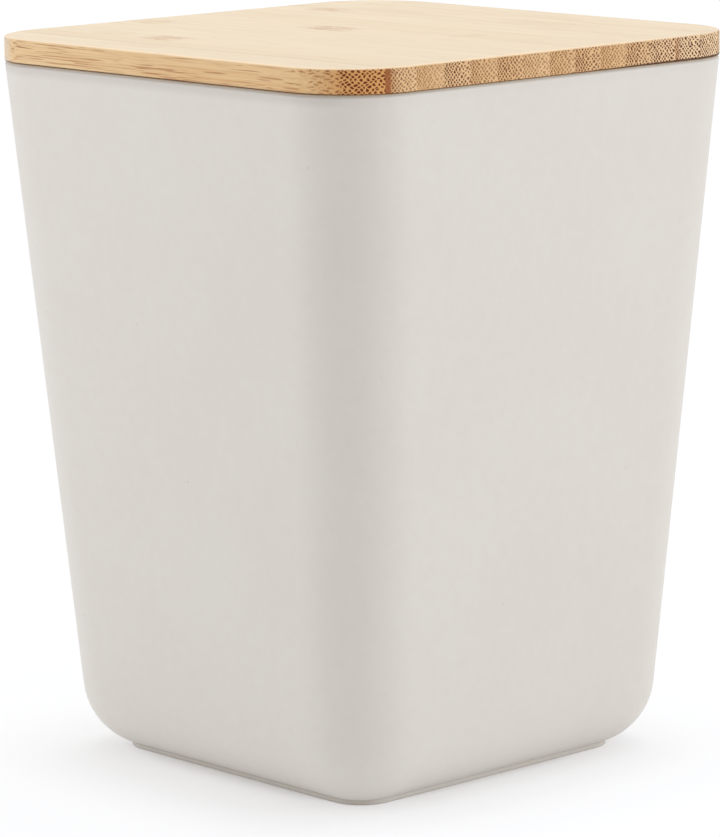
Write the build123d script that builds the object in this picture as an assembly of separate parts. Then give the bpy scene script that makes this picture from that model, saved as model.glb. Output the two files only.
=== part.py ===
from build123d import *

import os

# Kitchen canister: a square tapered tub of moulded bamboo fibre with a flat lid of
# laminated bamboo. The lid lifts straight off. A plug board under it drops into the
# mouth and carries a soft seal ring.
# Millimetres. X runs along the bamboo strips, Y across them, Z up.
# The origin is on the floor, under the middle of the tub.

# Tub outside
tub_height = 128.0
rim_side = 100.0
rim_corner_radius = 14.5
base_side = 80.8
base_corner_radius = 13.0
bottom_round = 12.6
rim_round = 0.6

# Tub wall and floor
wall = 2.8
floor_thickness = 2.6

# Foot ring under the tub, with the floor recessed inside it
foot_side = 66.4
foot_corner_radius = 6.8
foot_width = 3.0
foot_height = 0.2
foot_recess = 1.2

# Lid board, made of strips side by side
lid_board = 4.5
lid_overhang = 0.0
lid_top_round = 0.3
lid_low_round = 0.3
whole_strips = 15
front_strip_width = 3.4
back_strip_width = 1.35

# Plug board, glued under the lid board
plug_depth = 6.4
plug_lip = 2.4
plug_clearance = 1.2
plug_round = 0.4
plug_strips = 15

# Seal ring, stretched round the neck of the plug
seal_depth = 1.8
seal_fin = 0.8
seal_fin_round = 0.3
seal_fin_count = 2
seal_gap = 0.25

# The least corner radius that a level rounding leaves where it runs round a corner
least_corner = 0.3

# How far a cutting block runs past the face that it opens
cut_margin = 1.0

wall_rise = tub_height - foot_height


def up_the_wall(at_base, at_rim, height):
    """A length that changes evenly from the base to the rim."""
    return at_base + (at_rim - at_base) * (height - foot_height) / wall_rise


def tub_side(height):
    """Side of the tub's outside at a height."""
    return up_the_wall(base_side, rim_side, height)


def tub_corner(height):
    """Corner radius of the tub's outside at a height."""
    return up_the_wall(base_corner_radius, rim_corner_radius, height)


def rounded_square(side, corner, height):
    """Level square with rounded corners."""
    return Plane.XY.offset(height) * RectangleRounded(side, side, corner)


def tapered_block(low, high, inset):
    """The tub's outside form between two heights, drawn in all round by an inset."""
    sections = [
        rounded_square(tub_side(height) - 2 * inset, tub_corner(height) - inset, height)
        for height in (low, high)
    ]
    return loft(sections, ruled=True)


def slab(side, corner, low, high):
    """Upright block with rounded corners."""
    return extrude(rounded_square(side, corner, low), high - low)


def ring(outer_side, outer_corner, inset, low, high):
    """Square ring with rounded corners, as wide as its inset."""
    hole = slab(outer_side - 2 * inset, outer_corner - inset, low, high)
    return slab(outer_side, outer_corner, low, high) - hole


def level_edges(solid, height):
    """The edges that lie level at a height."""
    return solid.edges().filter_by_position(Axis.Z, height, height)


# Tub
inside_floor = foot_recess + floor_thickness


def round_bottom(block, height, radius, corner):
    """Round a block's lower edge, by no more than the corners that the rounding runs round allow."""
    return fillet(level_edges(block, height), min(radius, corner - least_corner))


def make_tub():
    """One moulded shell: tapered walls, floor and foot ring."""
    outside = tapered_block(foot_height, tub_height, 0)
    outside = round_bottom(outside, foot_height, bottom_round, base_corner_radius)
    inside = tapered_block(inside_floor, tub_height + cut_margin, wall)
    inside = round_bottom(inside, inside_floor, bottom_round - wall, tub_corner(inside_floor) - wall)
    foot = slab(foot_side, foot_corner_radius, 0, inside_floor - floor_thickness / 2)
    recess = slab(foot_side - 2 * foot_width, foot_corner_radius - foot_width, 0, foot_recess)
    shell = outside + foot - inside - recess
    return fillet(level_edges(shell, tub_height), rim_round)


# Lid board
lid_side = rim_side + 2 * lid_overhang
lid_corner_radius = rim_corner_radius + lid_overhang
lid_top = tub_height + lid_board


def make_lid_board():
    """The whole lid board, before it is shown as strips."""
    board = slab(lid_side, lid_corner_radius, tub_height, lid_top)
    board = fillet(level_edges(board, lid_top), lid_top_round)
    return fillet(level_edges(board, tub_height), lid_low_round)


def lid_joints():
    """Places of the lid board's glue joints along Y: whole strips between two narrow edge strips."""
    strip_width = (lid_side - front_strip_width - back_strip_width) / whole_strips
    first = front_strip_width - lid_side / 2
    return [first + joint * strip_width for joint in range(whole_strips + 1)]


# Plug board
plug_bottom = tub_height - plug_depth
mouth_side = tub_side(plug_bottom) - 2 * wall
mouth_corner = tub_corner(plug_bottom) - wall
plug_side = mouth_side - 2 * plug_clearance
plug_corner = mouth_corner - plug_clearance
neck_bottom = plug_bottom + plug_lip


def make_plug_board():
    """The whole plug board: a lip below, and a narrower neck that holds the seal ring."""
    lip = slab(plug_side, plug_corner, plug_bottom, neck_bottom)
    lip = fillet(level_edges(lip, plug_bottom), plug_round)
    neck = slab(plug_side - 2 * seal_depth, plug_corner - seal_depth, neck_bottom, tub_height)
    return lip + neck


def plug_joints():
    """Places of the plug board's glue joints along Y, for strips of one width."""
    return [plug_side * (joint / plug_strips - 0.5) for joint in range(1, plug_strips)]


def cut_in_strips(board, joints, side):
    """Cut a board along X at its joints, from the front strip to the back one."""
    middle_height = board.bounding_box().center().Z
    ends = [-side, *joints, side]
    strips = []
    for front, back in zip(ends, ends[1:]):
        lane = Pos(0, (front + back) / 2, middle_height) * Box(2 * side, back - front, 2 * side)
        strips.append(board & lane)
    return strips


# Seal ring
def make_seal_ring():
    """Soft ring: a band that fills the neck's groove, with fins that almost reach the wall."""
    seal = ring(plug_side, plug_corner, seal_depth, neck_bottom, tub_height)
    pitch = (tub_height - neck_bottom) / seal_fin_count
    for fin in range(seal_fin_count):
        low = neck_bottom + (fin + 0.5) * pitch - seal_fin / 2
        reach = tub_side(low) - 2 * wall - 2 * seal_gap
        corner = tub_corner(low) - wall - seal_gap
        blade = slab(reach, corner, low, low + seal_fin)
        blade = fillet(blade.edges().filter_by(Plane.XY), seal_fin_round)
        seal += blade - slab(plug_side - seal_depth, plug_corner - seal_depth / 2, low, low + seal_fin)
    return seal


# Every piece under its own name
pieces = {"tub": make_tub(), "seal_ring": make_seal_ring()}
for number, strip in enumerate(cut_in_strips(make_lid_board(), lid_joints(), lid_side), 1):
    pieces[f"lid_strip_{number:02d}"] = strip
for number, strip in enumerate(cut_in_strips(make_plug_board(), plug_joints(), plug_side), 1):
    pieces[f"plug_strip_{number:02d}"] = strip

os.makedirs("parts", exist_ok=True)
for name, shape in pieces.items():
    export_step(shape, f"parts/{name}.step")
    print(f"{name}: {shape.volume / 1000:.2f} cm3")
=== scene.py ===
"""Looks of a kitchen canister: a matt moulded tub under a flat lid of laminated bamboo.

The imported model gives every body, place and size. This file builds the finished
surfaces around it. Lengths are metres, and millimetres inside the finishes. X runs
along the bamboo, Y across it, Z up.
"""

from __future__ import annotations

import logging
import math
from abc import ABC, abstractmethod
from collections.abc import Sequence
from dataclasses import dataclass, field
from enum import Enum

import bpy
from mathutils import Matrix, Vector


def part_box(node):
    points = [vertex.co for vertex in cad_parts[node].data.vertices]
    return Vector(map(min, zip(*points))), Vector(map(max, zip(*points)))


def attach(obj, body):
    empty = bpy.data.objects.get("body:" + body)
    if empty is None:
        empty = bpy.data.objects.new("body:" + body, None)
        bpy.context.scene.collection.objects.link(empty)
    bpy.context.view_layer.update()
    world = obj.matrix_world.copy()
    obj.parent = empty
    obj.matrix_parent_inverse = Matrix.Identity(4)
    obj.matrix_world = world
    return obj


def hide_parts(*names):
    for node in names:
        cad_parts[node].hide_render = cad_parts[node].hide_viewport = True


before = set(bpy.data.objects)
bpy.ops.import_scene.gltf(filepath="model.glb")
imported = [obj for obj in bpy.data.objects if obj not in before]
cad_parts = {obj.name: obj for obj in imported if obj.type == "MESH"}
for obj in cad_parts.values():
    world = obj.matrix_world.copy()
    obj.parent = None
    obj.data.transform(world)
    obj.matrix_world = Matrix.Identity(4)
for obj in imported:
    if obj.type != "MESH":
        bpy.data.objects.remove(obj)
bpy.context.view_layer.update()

log = logging.getLogger("canister")

MM = 0.001
BOLDNESS = "boldness"
Colour = tuple[float, float, float]
Point = tuple[float, float]
Square = tuple[float, float, float]


def paint(red: int, green: int, blue: int) -> Colour:
    """Turn a colour as seen on a screen into the linear colour that light uses.

    Args:
        red: Level of red, 0 to 255.
        green: Level of green, 0 to 255.
        blue: Level of blue, 0 to 255.

    Returns:
        The linear colour, each part 0 to 1.
    """

    def linear(level: int) -> float:
        """Undo the screen's curve for one level."""
        share = level / 255
        return share / 12.92 if share <= 0.04045 else ((share + 0.055) / 1.055) ** 2.4

    return linear(red), linear(green), linear(blue)


class Body(Enum):
    """The two bodies that the canister comes apart into."""

    CANISTER = "canister"
    LID = "lid"


class Slot(Enum):
    """The record's material slots."""

    FIBRE = "moulded_fibre"
    BAMBOO = "bamboo"
    SILICONE = "silicone"


@dataclass(frozen=True)
class Signal:
    """One socket of a node tree, which takes part in arithmetic."""

    graph: Graph
    socket: bpy.types.NodeSocket

    def __add__(self, other: Value) -> Signal:
        """Add."""
        return self.graph.maths("ADD", self, other)

    __radd__ = __add__

    def __mul__(self, other: Value) -> Signal:
        """Multiply."""
        return self.graph.maths("MULTIPLY", self, other)

    __rmul__ = __mul__

    def __sub__(self, other: Value) -> Signal:
        """Subtract."""
        return self.graph.maths("SUBTRACT", self, other)

    def __rsub__(self, other: Value) -> Signal:
        """Subtract from a number."""
        return self.graph.maths("SUBTRACT", other, self)

    def __truediv__(self, other: Value) -> Signal:
        """Divide."""
        return self.graph.maths("DIVIDE", self, other)

    def __pow__(self, other: Value) -> Signal:
        """Raise to a power."""
        return self.graph.maths("POWER", self, other)

    def __abs__(self) -> Signal:
        """Drop the sign."""
        return self.graph.maths("ABSOLUTE", self)


Value = Signal | bpy.types.NodeSocket | float | int


@dataclass(frozen=True)
class Fade:
    """A smooth change along a measure, from 0 at its start to its strength at its end."""

    start: float
    end: float
    strength: float = 1.0


@dataclass(frozen=True)
class Cut:
    """A number with one value on long grain and another on end grain."""

    long_grain: float
    end_grain: float

    def at(self, share: Signal) -> Signal:
        """Take the value for a place, whose share is 0 on long grain and 1 on end grain."""
        return self.long_grain + (self.end_grain - self.long_grain) * share


@dataclass(frozen=True)
class Grain:
    """A noise: the size of its cells in millimetres, and how many cells each strip shifts it."""

    long: float
    wide: float
    tall: float
    detail: float = 2.0
    roughness: float = 0.5
    side_shift: float = 0.0
    up_shift: float = 0.0

    @classmethod
    def even(cls, size: float, detail: float = 2.0, roughness: float = 0.5) -> Grain:
        """Make a noise whose cells are as wide and as tall as they are long."""
        return cls(size, size, size, detail, roughness)


class Graph:
    """A node tree with one way to add a node, and shorthands for the nodes used most."""

    def __init__(self, tree: bpy.types.NodeTree) -> None:
        """Hold a tree."""
        self.tree = tree

    def node(self, kind: str, settings: dict | None = None, inputs: dict | None = None) -> bpy.types.Node:
        """Add a node.

        Args:
            kind: The node's type.
            settings: Properties, set before any socket.
            inputs: Values or links, by socket name or number.

        Returns:
            The new node.
        """
        made = self.tree.nodes.new(kind)
        for name, value in (settings or {}).items():
            setattr(made, name, value)
        for key, value in (inputs or {}).items():
            self.feed(self.pick(made.inputs, key), value)
        return made

    @staticmethod
    def pick(sockets: Sequence[bpy.types.NodeSocket], key: str | int) -> bpy.types.NodeSocket:
        """Find a socket.

        Args:
            sockets: A node's inputs or its outputs.
            key: The name of a socket in use, or the number of any socket.

        Returns:
            The socket.
        """
        if isinstance(key, int):
            return sockets[key]
        return next(socket for socket in sockets if socket.name == key and socket.enabled)

    def feed(self, socket: bpy.types.NodeSocket, value: object) -> None:
        """Give a socket its value.

        Args:
            socket: The socket to feed.
            value: A plain value, or a signal or socket to link.
        """
        if isinstance(value, Signal):
            value = value.socket
        if isinstance(value, bpy.types.NodeSocket):
            self.tree.links.new(value, socket)
        elif isinstance(value, tuple) and len(value) == 3 and socket.type == "RGBA":
            socket.default_value = (*value, 1.0)
        else:
            socket.default_value = value

    def out(self, made: bpy.types.Node, key: str | int = 0) -> Signal:
        """Take a node's output as a signal."""
        return Signal(self, self.pick(made.outputs, key))

    def maths(self, operation: str, *values: Value) -> Signal:
        """Add a Math node on one, two or three values."""
        made = self.node("ShaderNodeMath", {"operation": operation}, dict(enumerate(values)))
        return self.out(made)

    def low(self, first: Value, second: Value) -> Signal:
        """Take the lower of two values."""
        return self.maths("MINIMUM", first, second)

    def high(self, first: Value, second: Value) -> Signal:
        """Take the higher of two values."""
        return self.maths("MAXIMUM", first, second)

    def split(self, vector: Value) -> tuple[Signal, Signal, Signal]:
        """Split a vector or a colour into its three numbers."""
        made = self.node("ShaderNodeSeparateXYZ", inputs={0: vector})
        return self.out(made, 0), self.out(made, 1), self.out(made, 2)

    def join(self, x: Value, y: Value, z: Value) -> Signal:
        """Join three numbers into a vector."""
        return self.out(self.node("ShaderNodeCombineXYZ", inputs={0: x, 1: y, 2: z}))

    def rise(self, value: Value, start: Value, end: Value, full: float = 1.0) -> Signal:
        """Follow a value smoothly up or down.

        Args:
            value: The value to follow.
            start: The value at which the result is 0.
            end: The value at which the result is full, which may be the lower of the two.
            full: The result at the end.

        Returns:
            The result, which stays level beyond the start and the end.
        """
        settings = {"interpolation_type": "SMOOTHSTEP"}
        ramp = self.node("ShaderNodeMapRange", settings, {0: value, 1: start, 2: end, 3: 0.0, 4: full})
        return self.out(ramp)

    def fade(self, value: Value, fade: Fade) -> Signal:
        """Follow a value from 0 where a fade starts to its strength where it ends."""
        return self.rise(value, fade.start, fade.end, fade.strength)

    def blend(self, share: Value, first: Value | Colour, second: Value | Colour) -> Signal:
        """Mix two colours, all first at 0 and all second at 1."""
        mixer = self.node("ShaderNodeMix", {"data_type": "RGBA"}, {0: share, 6: first, 7: second})
        return self.out(mixer, 2)

    def noise(self, vector: Value, detail: float = 2.0, roughness: float = 0.5) -> bpy.types.Node:
        """Add a noise of one cell per unit of its vector."""
        inputs = {"Vector": vector, "Scale": 1.0, "Detail": detail, "Roughness": roughness}
        return self.node("ShaderNodeTexNoise", {"noise_dimensions": "3D"}, inputs)

    def chance(self, value: Value) -> tuple[Signal, Signal, Signal]:
        """Give three random numbers, 0 to 1, that stay the same for one value."""
        made = self.node("ShaderNodeTexWhiteNoise", {"noise_dimensions": "1D"}, {"W": value})
        return self.split(self.out(made, "Color"))


class Skin(Graph):
    """A material under construction.

    x, y and z are the place on the piece in millimetres, and facing holds the three
    parts of the direction that the surface faces.
    """

    def __init__(self, name: str) -> None:
        """Start a material with one Principled shader.

        Args:
            name: The material's name.
        """
        self.material = bpy.data.materials.new(name)
        self.material.use_nodes = True
        super().__init__(self.material.node_tree)
        self.tree.nodes.clear()
        self.shader = self.node("ShaderNodeBsdfPrincipled")
        surface = self.node("ShaderNodeOutputMaterial", inputs={"Surface": self.shader.outputs[0]})
        surface.is_active_output = True
        place = self.node("ShaderNodeTexCoord")
        self.x, self.y, self.z = (part / MM for part in self.split(place.outputs["Object"]))
        self.facing = self.split(place.outputs["Normal"])

    def grain(self, grain: Grain, strip: Value = 0.0) -> Signal:
        """Add a noise.

        Args:
            grain: The noise's cells and shifts.
            strip: The strip's number, on a board.

        Returns:
            The noise, about 0.5 on average.
        """
        side = self.y / grain.wide + grain.side_shift * strip
        up = self.z / grain.tall + grain.up_shift * strip
        return self.out(self.noise(self.join(self.x / grain.long, side, up), grain.detail, grain.roughness))

    def dress(self, **inputs: object) -> bpy.types.Material:
        """Set sockets of the shader.

        Args:
            inputs: Values by the sockets' names, with their spaces written as underscores.

        Returns:
            The material.
        """
        for name, value in inputs.items():
            self.feed(self.shader.inputs[name.replace("_", " ")], value)
        return self.material

    def bump(self, height: Value, depth: float) -> Signal:
        """Turn a height of 0 to 1 into a normal, for a relief of a depth in metres."""
        relief = self.node("ShaderNodeBump", inputs={"Strength": 1.0, "Distance": depth, "Height": height})
        return self.out(relief)


@dataclass(frozen=True)
class FibreFinish:
    """Moulded bamboo fibre: warm off-white, matt, with a faint mottle and rare fine flecks.

    Shade is painted on outside under the rim, along the seam over the foot ring, and on the foot.
    The fades follow heights in millimetres, those of the rim from the rim itself, or the parts of
    the direction that the surface faces.
    """

    colour: Colour = paint(222, 218, 213)
    deep_colour: Colour = paint(220, 215, 209)
    fleck_colour: Colour = paint(196, 187, 176)
    # Colour of the painted shade under the rim, along the seam and on the foot
    painted_shade_colour: Colour = paint(128, 116, 102)
    roughness: float = 0.46
    roughness_spread: float = 0.06
    relief: float = 0.006 * MM
    # Mottle and flecks
    clouds: Grain = Grain.even(26.0, 3.0)
    mottle: Grain = Grain.even(2.2, 3.0, 0.6)
    tooth: Grain = Grain.even(0.4)
    shade: Fade = Fade(0.35, 0.65)
    fleck_spacing: float = 11.0
    fleck_radius: float = 0.014
    fleck_strength: float = 0.5
    # Painted shade: under the rim, along the seam and round the foot
    outside: Fade = Fade(10.0, 20.0)
    upright: Fade = Fade(0.9, 0.6)
    rim_shade_base: float = 0.04
    rim_front_side: Fade = Fade(-0.6, -0.95, 0.14)
    rim_band: Fade = Fade(-2.6, -0.8)
    rim_line: Fade = Fade(-0.7, -0.25, 0.25)
    foot_shade_base: float = 0.09
    foot_front_side: Fade = Fade(-0.2, -0.7, 0.08)
    foot_band: Fade = Fade(1.3, 0.9)
    foot_edge: Fade = Fade(0.4, 0.1, 0.22)
    seam_height: float = 1.1
    seam_line: Fade = Fade(0.35, 0.15, 0.13)

    def build(self, rim: float) -> bpy.types.Material:
        """Make the material.

        Args:
            rim: Height of the rim, in metres.

        Returns:
            The material.
        """
        skin = Skin("moulded bamboo fibre")
        mottle = skin.grain(self.mottle)
        shade = skin.fade(0.5 * skin.grain(self.clouds) + 0.5 * mottle, self.shade)
        ground = skin.blend(shade, self.deep_colour, self.colour)
        ground = skin.blend(self.flecks(skin), ground, self.fleck_colour)
        # Painted shade under the rim, along the seam and on the foot
        ground = skin.blend(self.painted_shade(skin, rim / MM), ground, self.painted_shade_colour)
        roughness = self.roughness + self.roughness_spread * shade
        normal = skin.bump(skin.grain(self.tooth) + mottle, self.relief)
        return skin.dress(Base_Color=ground, Roughness=roughness, Normal=normal)

    def flecks(self, skin: Skin) -> Signal:
        """Scatter fine flecks, a spacing apart, their radius a share of it.

        Args:
            skin: The material being built.

        Returns:
            How strongly a fleck shows, 0 to 1.
        """
        place = skin.join(*(part / self.fleck_spacing for part in (skin.x, skin.y, skin.z)))
        settings = {"voronoi_dimensions": "3D", "feature": "F1"}
        inputs = {"Vector": place, "Scale": 1.0, "Randomness": 1.0}
        distance = skin.out(skin.node("ShaderNodeTexVoronoi", settings, inputs), "Distance")
        return skin.rise(distance, 2 * self.fleck_radius, self.fleck_radius, self.fleck_strength)

    def painted_shade(self, skin: Skin, rim: float) -> Signal:
        """Mark the painted shade under the rim, along the seam and round the foot, more so on the side that
        faces the front.

        Args:
            skin: The material being built.
            rim: Height of the rim, in millimetres.

        Returns:
            How strongly the shade is painted, 0 to 1.
        """
        face_x, face_y, face_z = skin.facing
        outside = skin.fade(skin.x * face_x + skin.y * face_y, self.outside)
        to_rim = skin.z - rim
        side = self.rim_shade_base + skin.fade(face_y, self.rim_front_side)
        under_rim = side * skin.fade(to_rim, self.rim_band) + skin.fade(to_rim, self.rim_line)
        side = self.foot_shade_base + skin.fade(face_y, self.foot_front_side)
        foot = side * skin.fade(skin.z, self.foot_band) + skin.fade(skin.z, self.foot_edge)
        seam = skin.fade(abs(skin.z - self.seam_height), self.seam_line)
        return (under_rim * skin.fade(face_z, self.upright) + foot + seam) * outside


@dataclass(frozen=True)
class BoardPlan:
    """Where a board of strips lies: its first whole joint along Y, its height and its outline."""

    first_joint: float
    strip_width: float
    low: float
    high: float
    half: float
    corner: float

    def joint(self, number: int) -> float:
        """Place along Y of a joint, counted from the first whole one, in metres."""
        return self.first_joint + number * self.strip_width

    def middle(self) -> float:
        """Height halfway up the board, in metres."""
        return (self.low + self.high) / 2


@dataclass(frozen=True)
class Knot:
    """A node of the culm, where one strip shows a fuzzy brown mark across its grain.

    Strips are counted from the first whole one, which is 0.
    """

    strip: int
    place: float
    strength: float = 1.0
    reach: float = 6.5 * MM


@dataclass(frozen=True)
class Stain:
    """A joint where the dark outer layer of the culm was left on the strip behind it."""

    joint: int
    strength: float = 1.0


@dataclass(frozen=True)
class Tones:
    """The colours of one cut through bamboo: its ground from pale to warm, and its bundles."""

    pale: Colour
    warm: Colour
    bundle: Colour


class StripSkin(Skin):
    """A bamboo material under construction, with where each place lies on its strip.

    strip is the strip's number and across goes from 0 at its skin side to 1. end is 1 on
    end grain, and top is 1 on the board's top and underside. tone, lean and drift are
    random numbers of the strip. rich is 1 on the orange strip and crisp on the boldest.
    """

    def __init__(self, finish: BambooFinish) -> None:
        """Start the material of a finish.

        Args:
            finish: The finish, with the plan of the board that it is for.
        """
        super().__init__(finish.name)
        along_x, _, along_z = (abs(part) for part in self.facing)
        self.end = self.fade(along_x, finish.end_facing)
        self.top = self.fade(along_z, finish.top_facing)
        lane = (self.y - finish.plan.first_joint / MM) / (finish.plan.strip_width / MM)
        self.strip = self.maths("FLOOR", lane)
        self.across = lane - self.strip
        self.tone, self.lean, self.drift = self.chance(self.strip + finish.seed)
        near = self.fade(abs(lane - (finish.rich_strip + 0.5)), finish.rich_reach)
        self.rich = near * self.maths("LESS_THAN", self.strip, finish.rich_strip + 0.5)
        self.boldness = self.out(self.node("ShaderNodeAttribute", {"attribute_name": BOLDNESS}), "Fac")
        self.crisp = self.fade(self.boldness, finish.crisp_boldness)


@dataclass(frozen=True)
class Bundles:
    """Fibre bundles on a warped lattice: dots on end grain, dashes along the grain.

    They are fine and close at the skin side of a strip, coarse and sparse inside. The
    counts are bundles in a millimetre. The radii, the sway and the lift are shares of
    the room that one bundle has.
    """

    count_across: float = 1.5
    count_across_lost: float = 0.3
    count_up: float = 1.2
    count_up_lost: float = 0.15
    strip_shift: float = 31.7
    sway: Cut = Cut(2.6, 1.3)
    lift: Cut = Cut(0.15, 1.05)
    warp_long: float = 16.0
    warp_tall: float = 0.9
    warps_across: float = 4.0
    warp_strip_shift: float = 7.0
    warp_chance_shift: float = 40.0
    radius: float = 0.26
    radius_lost: float = 0.03
    radius_spread: float = 0.16
    drawn_size: Cut = Cut(0.75, 1.0)
    softness: float = 0.07
    least_strength: float = 0.3
    more_strength: Fade = Fade(0.46, 0.62, 0.7)

    def mark(self, skin: StripSkin, plan: BoardPlan) -> Signal:
        """Mark the bundles.

        Args:
            skin: The material being built.
            plan: Where the board lies.

        Returns:
            1 on a bundle, 0 between bundles, and less than 1 on weak dashes.
        """
        across, end = skin.across, skin.end
        warp_place = skin.join(
            skin.x / self.warp_long + self.warp_chance_shift * skin.drift,
            self.warps_across * across + self.warp_strip_shift * skin.strip,
            skin.z / self.warp_tall,
        )
        sway, lift, weight = skin.split(skin.out(skin.noise(warp_place, 1.0), "Color"))
        row = plan.strip_width / MM * (self.count_across * across - self.count_across_lost * across * across)
        row = row + self.strip_shift * skin.strip + self.sway.at(end) * (sway - 0.5)
        level = (skin.z - plan.middle() / MM) * (self.count_up - self.count_up_lost * across)
        level = level + self.lift.at(end) * (lift - 0.5)
        distance = skin.low(self.spacing(skin, row, level, 0.0), self.spacing(skin, row, level, 0.5))
        radius = self.radius - self.radius_lost * across + self.radius_spread * (weight - 0.5)
        beyond = distance - radius * self.drawn_size.at(end)
        strength = self.least_strength + skin.fade(weight, self.more_strength)
        return skin.rise(beyond, self.softness, -self.softness) * (strength + end * (1 - strength))

    @staticmethod
    def spacing(skin: Skin, row: Signal, level: Signal, shift: float) -> Signal:
        """Measure how far the nearest point of a square lattice is.

        Args:
            skin: The material being built.
            row: Place across, in cells of the lattice.
            level: Place up, in cells.
            shift: How far the lattice is shifted both ways, in cells.

        Returns:
            The distance, in cells.
        """
        along = skin.maths("FRACT", row + shift) - 0.5
        up = skin.maths("FRACT", level + shift) - 0.5
        return (along * along + up * up) ** 0.5


@dataclass(frozen=True)
class BambooFinish:
    """Sanded and oiled bamboo strips: fibre bundles run along X and show as dots at the ends.

    The fades follow places in millimetres, or values of 0 to 1.
    """

    name: str
    plan: BoardPlan
    knots: tuple[Knot, ...] = ()
    stains: tuple[Stain, ...] = (Stain(1), Stain(12, 0.45))
    seed: float = 3.0
    rich_strip: int = 0
    # Colours
    side: Tones = Tones(paint(232, 199, 151), paint(213, 165, 106), paint(158, 86, 26))
    end: Tones = Tones(paint(233, 195, 148), paint(219, 175, 123), paint(112, 56, 16))
    # The top's tones are the wood's own colour, paled by a painted sheen
    top: Tones = Tones(paint(238, 220, 191), paint(231, 210, 174), paint(196, 152, 104))
    rich_end: Colour = paint(224, 166, 102)
    rich_bundle: Colour = paint(112, 48, 12)
    crisp_end: Colour = paint(249, 221, 182)
    crisp_bundle: Colour = paint(88, 32, 6)
    # Painted highlight along the upper edge
    arris_highlight: Colour = paint(255, 228, 190)
    stain: Colour = paint(158, 84, 34)
    knot_colour: Colour = paint(190, 134, 78)
    # Painted shade along the lower edge
    low_edge_shade: Colour = paint(70, 36, 14)
    # Painted highlight at the left corner of the edge
    corner_highlight: Colour = paint(228, 215, 200)
    # Cuts and strips that differ
    end_facing: Fade = Fade(0.25, 0.8)
    top_facing: Fade = Fade(0.7, 0.96)
    rich_reach: Fade = Fade(1.5, 0.5)
    crisp_boldness: Fade = Fade(1.1, 1.8)
    # Ground between the bundles
    streaks: Grain = Grain(38.0, 1 / 2.6, 1 / 2.6, 4.0, 0.6, side_shift=9.0)
    clouds: Grain = Grain(30.0, 4.0, 4.0, up_shift=5.0)
    streak_weight: float = 0.65
    cloud_weight: float = 0.25
    tone_weight: float = 0.16
    shade: Fade = Fade(0.25, 0.62)
    side_paleness: float = 0.28
    side_warmth: Fade = Fade(-35.0, 5.0, 0.4)
    end_across_weight: float = 0.35
    end_lean_weight: float = 0.5
    end_cloud_weight: float = 0.5
    end_shade: Fade = Fade(-0.4, 0.7)
    crisp_strength: float = 0.6
    # Bundles and fine lines
    bundles: Bundles = Bundles()
    contrast: Cut = Cut(0.6, 0.9)
    contrast_lost_on_top: float = 0.4
    contrast_lost_across: float = 0.3
    fine_grain: Grain = Grain(11.0, 0.25, 0.25, 2.0, 0.6, side_shift=3.0)
    fine_line: Fade = Fade(0.54, 0.64, 0.7)
    patches: Grain = Grain(13.0, 3.0, 1.5, 1.0, side_shift=5.0)
    patch: Fade = Fade(0.35, 0.6)
    # Stained joints and knots
    stain_middle: float = 0.35
    stain_line: Fade = Fade(0.62, 0.4)
    stain_start: Fade = Fade(-0.1, 0.1)
    stain_tail: Fade = Fade(2.2, 0.8, 0.5)
    stain_share: Cut = Cut(0.12, 0.82)
    knot_grain: Grain = Grain(3.0, 1 / 2.2, 1 / 2.2, 3.0, 0.7)
    knot_fuzz: Fade = Fade(0.36, 0.66, 0.8)
    knot_core: float = 1.0
    # Edges of the board: painted highlights at the left corner and along the upper edge, painted shade along
    # the lower edge
    left_corner: Fade = Fade(-88.2, -90.4, 0.6)
    low_edge_lift: Cut = Cut(0.05, -0.05)
    low_edge_back: Fade = Fade(0.0, 35.0, 0.27)
    low_edge: Fade = Fade(0.34, 0.16, 0.92)
    highlight_facing: Fade = Fade(0.2, 0.5)
    highlight_reach: Fade = Fade(1.6, 0.4)
    highlight_front: Fade = Fade(-15.0, 45.0, 0.85)
    # Surface
    roughness: float = 0.36
    roughness_at_end: float = 0.2
    roughness_of_streaks: float = 0.1
    gloss: float = 0.25
    relief: float = 0.04 * MM
    bundle_relief: Cut = Cut(0.25, 1.0)
    streak_relief: float = 0.3

    def build(self) -> bpy.types.Material:
        """Make the material.

        Returns:
            The material.
        """
        skin = StripSkin(self)
        streaks = skin.grain(self.streaks, skin.strip)
        bundles = self.bundles.mark(skin, self.plan)
        mark = self.bundle_colour(skin)
        ground = self.ground(skin, streaks)
        ground = skin.blend(bundles * self.bundle_strength(skin), ground, mark)
        ground = skin.blend(self.fine_lines(skin), ground, mark)
        ground = skin.blend(self.stained(skin), ground, self.stain)
        ground = skin.blend(self.knot_marks(skin), ground, self.knot_colour)
        # Painted highlight at the left corner, painted shade along the lower edge, painted highlight along
        # the upper edge
        ground = skin.blend(self.highlit_corner(skin), ground, self.corner_highlight)
        ground = skin.blend(self.shaded_edge(skin), ground, self.low_edge_shade)
        ground = skin.blend(self.highlit_edge(skin), ground, self.arris_highlight)
        height = 1 - bundles * self.bundle_relief.at(skin.end) - self.streak_relief * streaks
        roughness = self.roughness + self.roughness_at_end * skin.end + self.roughness_of_streaks * streaks
        return skin.dress(
            Base_Color=ground,
            Roughness=roughness,
            Specular_IOR_Level=self.gloss,
            Normal=skin.bump(height, self.relief),
        )

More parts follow.
